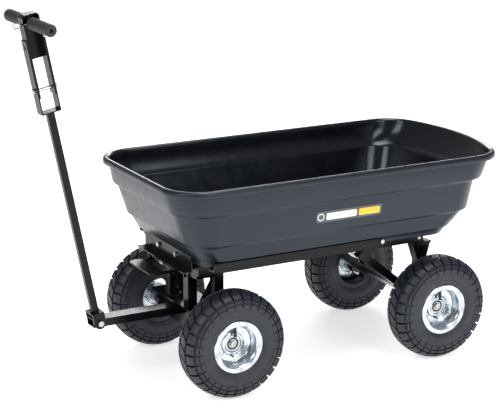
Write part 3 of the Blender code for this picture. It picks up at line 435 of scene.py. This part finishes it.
def rim_mesh(outboard):
    path = rim_path()
    if outboard:
        bm = revolve(sheet(path, -RIM_SHEET))
        rivets(bm)
    else:
        back = [(radius, -height) for radius, height in path]
        bm = revolve(sheet(back, RIM_SHEET))
        hub = [(0.0195, 0.0063), (0.0193, 0.0065), (0.0180, 0.0065), (0.0178, 0.0063),
               (0.0178, -0.0503), (0.0180, -0.0505), (0.0193, -0.0505), (0.0195, -0.0503)]
        revolve(hub, WHEEL_STEPS, True, bm)
    bmesh.ops.recalc_face_normals(bm, faces=bm.faces)
    data = bpy.data.meshes.new("rim_outboard" if outboard else "rim_inboard")
    bm.to_mesh(data)
    bm.free()
    carrier = bpy.data.objects.new("carrier", data)
    bpy.context.scene.collection.objects.link(carrier)
    disc_holes(carrier, [-6, 84, 174, 264])
    data = carrier.data
    bpy.data.objects.remove(carrier, do_unlink=True)
    return data


def bearing_mesh():
    """Sealed ball bearing: two races with the shield set back between them."""
    bore, outer, half = 0.00825, 0.0174, 0.0053
    section = [
        (bore, -half), (0.0108, -half), (0.0110, -half + 0.0008), (0.0150, -half + 0.0008),
        (0.0152, -half), (outer, -half), (outer, half), (0.0152, half), (0.0150, half - 0.0008),
        (0.0110, half - 0.0008), (0.0108, half), (bore, half),
    ]
    bm = revolve(section, 48)
    for face in bm.faces:
        middle_radius = math.hypot(*face.calc_center_median()[:2])
        face.material_index = 1 if 0.0109 < middle_radius < 0.0151 else 0
    data = bpy.data.meshes.new("bearing")
    bmesh.ops.recalc_face_normals(bm, faces=bm.faces)
    bm.to_mesh(data)
    bm.free()
    data.materials.append(LOOKS["zinc"])
    data.materials.append(LOOKS["rubber"])
    return data


def valve_mesh():
    """Rubber valve stem with ribs and a knurled cap, standing on +Z."""
    profile = [(0.0, 0.0), (0.0054, 0.0), (0.0054, 0.0030), (0.0047, 0.0042)]
    for i in range(5):
        low = 0.0050 + i * 0.0020
        profile += [(0.0040, low), (0.0043, low + 0.0006), (0.0043, low + 0.0013), (0.0040, low + 0.0018)]
    profile += [(0.0036, 0.0152), (0.0041, 0.0158), (0.0041, 0.0260), (0.0034, 0.0270), (0.0, 0.0270)]
    return revolve(profile, 24, False)


def wheels():
    tyre = bpy.data.meshes.new("tyre")
    bm = tyre_mesh()
    bmesh.ops.recalc_face_normals(bm, faces=bm.faces)
    bm.to_mesh(tyre)
    bm.free()
    rims = {True: rim_mesh(True), False: rim_mesh(False)}
    for name in WHEELS:
        side = 1 if "left" in name else -1
        centre = middle(f"{name}_tyre")
        spin = 7 if "front" in name else 3
        place = Matrix.Translation(centre) @ Matrix.Rotation(-side * math.pi / 2, 4, "X")
        tread = place @ Matrix.Rotation(math.radians(spin), 4, "Z")
        body = f"{name}_wheel"
        dress(f"{name}_tread", tyre.copy(), "tyre", body, [f"{name}_tyre"], tread, 30.0)
        # Both rim halves take the galvanised look, whose darkened, mottled colour includes painted dark
        # reflections.
        dress(f"{name}_rim_face", rims[True].copy(), "galvanised", body,
              [f"{name}_rim_outer"], place, 32.0)
        dress(f"{name}_rim_back", rims[False].copy(), "galvanised", body,
              [f"{name}_rim_inner"], place, 32.0)
        for end in ("outer", "inner"):
            node = f"{name}_bearing_{end}"
            spot = Matrix.Translation(middle(node)) @ Matrix.Rotation(math.pi / 2, 4, "X")
            dress(f"{node}_race", bearing_mesh(), "zinc", body, [node], spot)
        valve(name, body, side)


def valve(name, body, side):
    """The valve stands on the barrel above the hub and points at it."""
    node = f"{name}_valve_stem"
    low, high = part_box(node)
    foot = Vector(((low[0] + high[0]) / 2, (low[1] + high[1]) / 2 - side * 0.0008, high[2]))
    place = Matrix.Translation(foot) @ Matrix.Rotation(math.pi + side * math.radians(6), 4, "X")
    piece(f"{node}_ribbed", valve_mesh(), "rubber", body, [node], place)


def axles():
    for name, body in (("front_axle", "steering"), ("rear_axle", "frame")):
        low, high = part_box(name)
        centre = middle(name)
        half = (high[1] - low[1]) / 2
        radius = (high[2] - low[2]) / 2
        end = [
            (0.0, half - 0.0022), (0.0012, half - 0.0020), (0.0026, half), (radius - 0.0012, half),
            (radius, half - 0.0012),
        ]
        profile = end + [(r, -h) for r, h in end[::-1]]
        place = Matrix.Translation(centre) @ Matrix.Rotation(math.pi / 2, 4, "X")
        piece(f"{name}_bar", revolve(profile, 48, False), "zinc", body, [name], place)


# ---- tub ----------------------------------------------------------------------------------------
def half_outline(half, front, rear, front_r, rear_r):
    """Plan points of the left half, from the middle of the front to the middle of the rear."""
    points = [(front, (half - front_r) * i / 4) for i in range(4)]
    points += arc((front - front_r, half - front_r), front_r, 0, 90, 16)
    bow_x = BOW_RADIUS - rear
    corner_x = bow_x - math.sqrt((BOW_RADIUS - rear_r) ** 2 - (half - rear_r) ** 2)
    turn = math.degrees(math.atan2(half - rear_r, corner_x - bow_x))
    start = front - front_r
    points += [(start + (corner_x - start) * i / 12, half) for i in range(1, 12)]
    points += arc((corner_x, half - rear_r), rear_r, 90, turn, 16)
    points += arc((bow_x, 0), BOW_RADIUS, turn, 180, 14)[1:]
    return points


def tub_levels(top, half, front, rear):
    """Outer skin from the floor up to the rolled rim: height, half width, front, rear, corner radii."""
    floor = top - TUB_DEPTH

    def level(z, side, ahead, behind, front_r, rear_r):
        return (z, half - side, front - ahead, -rear - behind, front_r, rear_r)

    levels = [
        level(floor, FLOOR_INSET + 0.0040, 0.1020, 0.1520, 0.052, 0.048),
        level(floor + 0.0008, FLOOR_INSET + 0.0010, 0.0990, 0.1490, 0.054, 0.050),
        level(floor + 0.0040, FLOOR_INSET, 0.0980, 0.1460, 0.055, 0.050),
        level(floor + 0.0160, FLOOR_INSET - 0.0020, 0.0970, 0.1360, 0.056, 0.050),
        level(floor + 0.0190, FLOOR_INSET - 0.0060, 0.0930, 0.1335, 0.060, 0.052),
        level(floor + 0.0205, 0.0425, 0.0860, 0.1300, 0.065, 0.055),
        level(floor + 0.0520, 0.0397, 0.0670, 0.0945, 0.068, 0.060),
        level(floor + 0.0560, 0.0390, 0.0650, 0.0900, 0.069, 0.061),
        level(floor + 0.0600, 0.0340, 0.0575, 0.0785, 0.073, 0.065),
        level(floor + BAND_FOOT, BAND_FOOT_IN, 0.0557, 0.0760, 0.074, 0.066),
        level(floor + BAND_HEAD, BAND_HEAD_IN, 0.0336, 0.0615, 0.080, 0.070),
        level(floor + 0.1360, 0.0238, 0.0322, 0.0590, 0.081, 0.072),
        level(floor + 0.1400, 0.0182, 0.0232, 0.0400, 0.085, 0.079),
        level(floor + 0.1435, 0.0164, 0.0208, 0.0368, 0.086, 0.080),
        level(floor + 0.1820, 0.0130, 0.0140, 0.0190, 0.088, 0.090),
    ]
    lip = 0.0160
    roll = 0.0036
    under = top - TUB_WALL
    for i in range(ROLL_STEPS):
        angle = math.radians(90 * i / (ROLL_STEPS - 1))
        turned = roll * (1 - math.cos(angle)), roll * math.sin(angle)
        side = lip - TUB_WALL + 0.0005 - turned[0]
        levels.append(level(under - roll + turned[1], side, side, side, 0.088, 0.092))
    for i in range(ROLL_STEPS):
        angle = math.radians(90 - 90 * i / (ROLL_STEPS - 1))
        side = TUB_WALL + roll * (1 - math.cos(angle))
        levels.append(level(under - roll + roll * math.sin(angle), side, side, side, 0.090, 0.095))
    levels.append(level(top - lip + 0.0020, TUB_WALL, TUB_WALL, TUB_WALL, 0.090, 0.095))
    levels.append(level(top - lip, TUB_WALL + 0.0014, TUB_WALL + 0.0014, TUB_WALL + 0.0014, 0.089, 0.094))
    return levels


def ring_points(level, inward=0.0):
    """Plan outline of one level, moved inward by a wall."""
    z, half, front, rear, front_r, rear_r = level
    left = half_outline(half - inward, front - inward, rear - inward, front_r - inward, rear_r - inward)
    return [(x, y, z) for x, y in left + [(x, -y) for x, y in left[-2:0:-1]]]


def section_normals(levels):
    """For each level, the unit step (inward, up) across the wall of the side section."""
    steps = []
    for i, level in enumerate(levels):
        before = levels[max(i - 1, 0)]
        after = levels[min(i + 1, len(levels) - 1)]
        along = Vector((after[1] - before[1], after[0] - before[0])).normalized()
        steps.append((along.y, along.x))
    steps[0] = (0.3, 1.0)
    steps[-1] = (-1.0, 0.0)
    return steps


def tub():
    low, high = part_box("bed_tub")
    levels = tub_levels(high[2], high[1], high[0], low[0])
    bm = bmesh.new()
    outer = [[bm.verts.new(point) for point in ring_points(level)] for level in levels]
    inner = []
    for level, (inward, up) in zip(levels, section_normals(levels)):
        moved = (level[0] + up * TUB_WALL, *level[1:])
        inner.append([bm.verts.new(point) for point in ring_points(moved, inward * TUB_WALL)])
    bm.faces.new(outer[0][::-1])
    # Slot 1 is the painted-shade copy of the polyethylene, on the floor and the inner walls up to the rim's
    # crest.
    bm.faces.new(inner[0]).material_index = 1
    crest = len(levels) - ROLL_STEPS - 1
    for rings, flip in ((outer, False), (inner, True), ((outer[-1], inner[-1]), False)):
        for step, (below, above) in enumerate(zip(rings, rings[1:])):
            for i in range(len(below)):
                j = (i + 1) % len(below)
                corners = (below[i], below[j], above[j], above[i])
                face = bm.faces.new(corners[::-1] if flip else corners)
                face.material_index = 1 if flip and step < crest else 0
    bmesh.ops.recalc_face_normals(bm, faces=bm.faces)
    data = bpy.data.meshes.new("bed_shell")
    bm.to_mesh(data)
    bm.free()
    data.materials.append(LOOKS["poly"])
    # Second slot: the same polyethylene with painted shade for the inside.
    data.materials.append(LOOKS["inside"])
    dress("bed_shell", data, "poly", "bed", ["bed_tub"], None, 60.0)


def tub_pads():
    """Moulded blocks under the floor that rest on the frame and inside the steel rails."""
    low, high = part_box("bed_tub")
    floor = high[2] - TUB_DEPTH
    angle_low, angle_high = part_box("bed_front_angle")
    cross_low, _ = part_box("front_cross_member")
    rail_low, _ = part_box("bed_rail_left")
    bm = block((cross_low[0] + 0.0036, -0.092, low[2]), (angle_low[0] - 0.0015, 0.092, floor + 0.002))
    front_low = (angle_low[0] - 0.0060, -0.093, low[2] + 0.001)
    front_high = (angle_low[0] - 0.0003, 0.093, angle_high[2] - 0.001)
    block(front_low, front_high, bm)
    for x in (cross_low[0] - 0.195, cross_low[0] - 0.005):
        for side in (1, -1):
            ends = sorted((side * (rail_low[1] - 0.0003), side * (rail_low[1] - 0.0123)))
            block((x - 0.018, ends[0], low[2] + 0.006), (x + 0.018, ends[1], floor + 0.002), bm)
    obj = piece("bed_pads", bm, "poly", "bed")
    bevel(obj, PAD_EDGE)


def label():
    """Sticker on the near wall's flat band: a ring, a white bar and a yellow bar on a dark ground."""
    _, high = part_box("bed_tub")
    floor = high[2] - TUB_DEPTH
    foot = Vector((0.0, high[1] - BAND_FOOT_IN, floor + BAND_FOOT))
    head = Vector((0.0, high[1] - BAND_HEAD_IN, floor + BAND_HEAD))
    up = (head - foot).normalized()
    out = Vector((0.0, up.z, -up.y))
    across = Vector((-1.0, 0.0, 0.0))
    parts = [
        ("label_ground", "border", -0.044, 0.186, 0.0205, 0.0490, 0.00030, 0.006),
        ("label_white", "white", -0.072, 0.086, 0.0260, 0.0435, 0.00055, 0.004),
        ("label_yellow", "yellow", -0.164, 0.060, 0.0260, 0.0435, 0.00055, 0.004),
    ]
    for name, look, start, width, bottom, top, lift, corner in parts:
        outline = []
        for cx, cy, turn in ((width - corner, bottom + corner, 270), (width - corner, top - corner, 0),
                             (corner, top - corner, 90), (corner, bottom + corner, 180)):
            outline += arc((cx, cy), corner, turn, turn + 90, 5)
        bm = bmesh.new()
        rings = []
        for height in (0.0, lift):
            rings.append([
                bm.verts.new(foot + Vector((start, 0, 0)) + across * x + up * y + out * height)
                for x, y in outline
            ])
        bm.faces.new(rings[0])
        bm.faces.new(rings[1])
        for i in range(len(outline)):
            j = (i + 1) % len(outline)
            bm.faces.new((rings[0][i], rings[0][j], rings[1][j], rings[1][i]))
        piece(name, bm, look, "bed")
    emblem(foot + Vector((-0.057, 0, 0)) + up * 0.0350, up, out)


def emblem(centre, up, out):
    """Plain pale ring in front of the bars, with the ground showing inside it."""
    turn = Matrix((Vector((-1, 0, 0)), up, out)).transposed().to_4x4()
    place = Matrix.Translation(centre) @ turn
    ring = [(0.0070, 0.0), (0.0095, 0.0), (0.0095, 0.0006), (0.0070, 0.0006)]
    piece("label_ring", revolve(ring, 40), "white", "bed", (), place)


def main_nodes():
    """CAD pieces that stay: rounded edges and their slot's material."""
    slots = {entry["node"]: entry["material_slot"] for entry in frame["record"]["subparts"]}
    for name, obj in frame["nodes"].items():
        obj.data.materials.clear()
        obj.data.materials.append(LOOKS[slots[name]])
        obj.data.shade_smooth()
        obj.data.set_sharp_from_angle(angle=math.radians(32))
        if slots[name] == "powder":
            bevel(obj, POWDER_EDGE)
        elif slots[name] == "zinc":
            bevel(obj, ZINC_EDGE)


# ---- grips and rear gussets ---------------------------------------------------------------------
def grips():
    """Ribbed rubber grips with a collar and a hole in the closed end."""
    axis_bar = middle("grip_bar")
    for name, side in (("left", 1), ("right", -1)):
        low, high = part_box(f"grip_{name}")
        length = high[1] - low[1]
        start = min(abs(low[1]), abs(high[1]))
        profile = [(0.0098, 0.0), (0.0140, 0.0), (0.0152, 0.0010), (0.0153, 0.0040), (0.0146, 0.0055)]
        ribs = 16
        step = (length - 0.020) / ribs
        for i in range(ribs):
            z = 0.0070 + i * step
            profile += [(0.0136, z), (0.0142, z + step * 0.22)]
            profile += [(0.0144, z + step * 0.5), (0.0142, z + step * 0.8)]
        profile += [(0.0138, length - 0.011), (0.0144, length - 0.009), (0.0144, length - 0.004)]
        profile += [(0.0132, length - 0.0008), (0.0116, length), (0.0048, length), (0.0045, length - 0.0004)]
        profile += [(0.0045, length - 0.0035), (0.0098, length - 0.0035)]
        place = Matrix.Translation((axis_bar.x, side * start, axis_bar.z))
        place = place @ Matrix.Rotation(-side * math.pi / 2, 4, "X")
        sleeve = revolve(profile, 48)
        piece(f"grip_{name}_sleeve", sleeve, "rubber", "grip", [f"grip_{name}"], place)


def gussets():
    """Flared blocks that widen each rear upright where it meets the long rail."""
    for side in ("left", "right"):
        _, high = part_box(f"rear_leg_{side}")
        rail_low, rail_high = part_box(f"frame_rail_{side}")
        axle_x = middle("rear_axle").x
        y = (rail_low[1] + rail_high[1]) / 2
        top = high[2]
        outline = [(-0.030, top), (-0.025, top - 0.006), (-0.0135, top - GUSSET_DROP)]
        outline += [(0.0135, top - GUSSET_DROP), (0.027, top - 0.006), (0.033, top)]
        bm = bmesh.new()
        rings = [[bm.verts.new((axle_x + x, y + w, z)) for x, z in outline]
                 for w in (-GUSSET_HALF, GUSSET_HALF)]
        bm.faces.new(rings[0])
        bm.faces.new(rings[1])
        for i in range(len(outline)):
            j = (i + 1) % len(outline)
            bm.faces.new((rings[0][i], rings[0][j], rings[1][j], rings[1][i]))
        obj = piece(f"rear_gusset_{side}", bm, "powder", "frame")
        bevel(obj, POWDER_EDGE)


# ---- stage --------------------------------------------------------------------------------------
def stage():
    bm = bmesh.new()
    bmesh.ops.create_grid(bm, x_segments=1, y_segments=1, size=FLOOR_SIZE)
    data = bpy.data.meshes.new("floor")
    bm.to_mesh(data)
    bm.free()
    floor = bpy.data.objects.new("floor", data)
    bpy.context.scene.collection.objects.link(floor)
    look = Look("studio_floor", (0.97, 0.97, 0.97), 0.6)
    look.colour(look.noise(2.0, 2.0), ((0.3, (0.965, 0.965, 0.965)), (0.7, (0.98, 0.98, 0.98))))
    look.shader.inputs["Specular IOR Level"].default_value = 0.2
    look.shader.inputs["Emission Color"].default_value = (1.0, 1.0, 1.0, 1.0)
    look.shader.inputs["Emission Strength"].default_value = FLOOR_GLOW
    data.materials.append(look.material)


def lamp(name, at, target, size, power):
    light = bpy.data.lights.new(name, "AREA")
    light.shape = "RECTANGLE"
    light.size, light.size_y = size
    light.energy = power
    obj = bpy.data.objects.new(name, light)
    obj.location = at
    obj.rotation_euler = (Vector(target) - Vector(at)).to_track_quat("-Z", "Y").to_euler()
    bpy.context.scene.collection.objects.link(obj)


def lights():
    world = bpy.data.worlds.new("studio")
    world.use_nodes = True
    world.node_tree.nodes["Background"].inputs["Color"].default_value = (1.0, 1.0, 1.0, 1.0)
    world.node_tree.nodes["Background"].inputs["Strength"].default_value = WORLD_GLOW
    bpy.context.scene.world = world
    lamp("key", (3.2, 1.2, 2.6), (0, 0, 0.4), (1.6, 1.6), 50)
    lamp("top", (-0.4, 0.2, 3.0), (0, 0, 0.4), (2.4, 1.2), 70)
    lamp("back", (-2.3, -4.2, 2.3), (0, 0, 0.5), (3.2, 0.8), 70)
    lamp("side", (-0.6, 3.6, 1.8), (0, 0, 0.3), (2.0, 1.2), 40)


def camera():
    data = bpy.data.cameras.new("camera")
    data.lens = CAMERA_LENS
    data.sensor_width = 36.0
    data.clip_end = 60.0
    obj = bpy.data.objects.new("camera", data)
    obj.location = CAMERA_AT
    obj.rotation_euler = Euler([math.radians(angle) for angle in CAMERA_TURN])
    bpy.context.scene.collection.objects.link(obj)
    bpy.context.scene.camera = obj


camera()
lights()
stage()
main_nodes()
wheels()
axles()
tub()
tub_pads()
label()
grips()
gussets()
bpy.context.scene.view_settings.view_transform = "Standard"
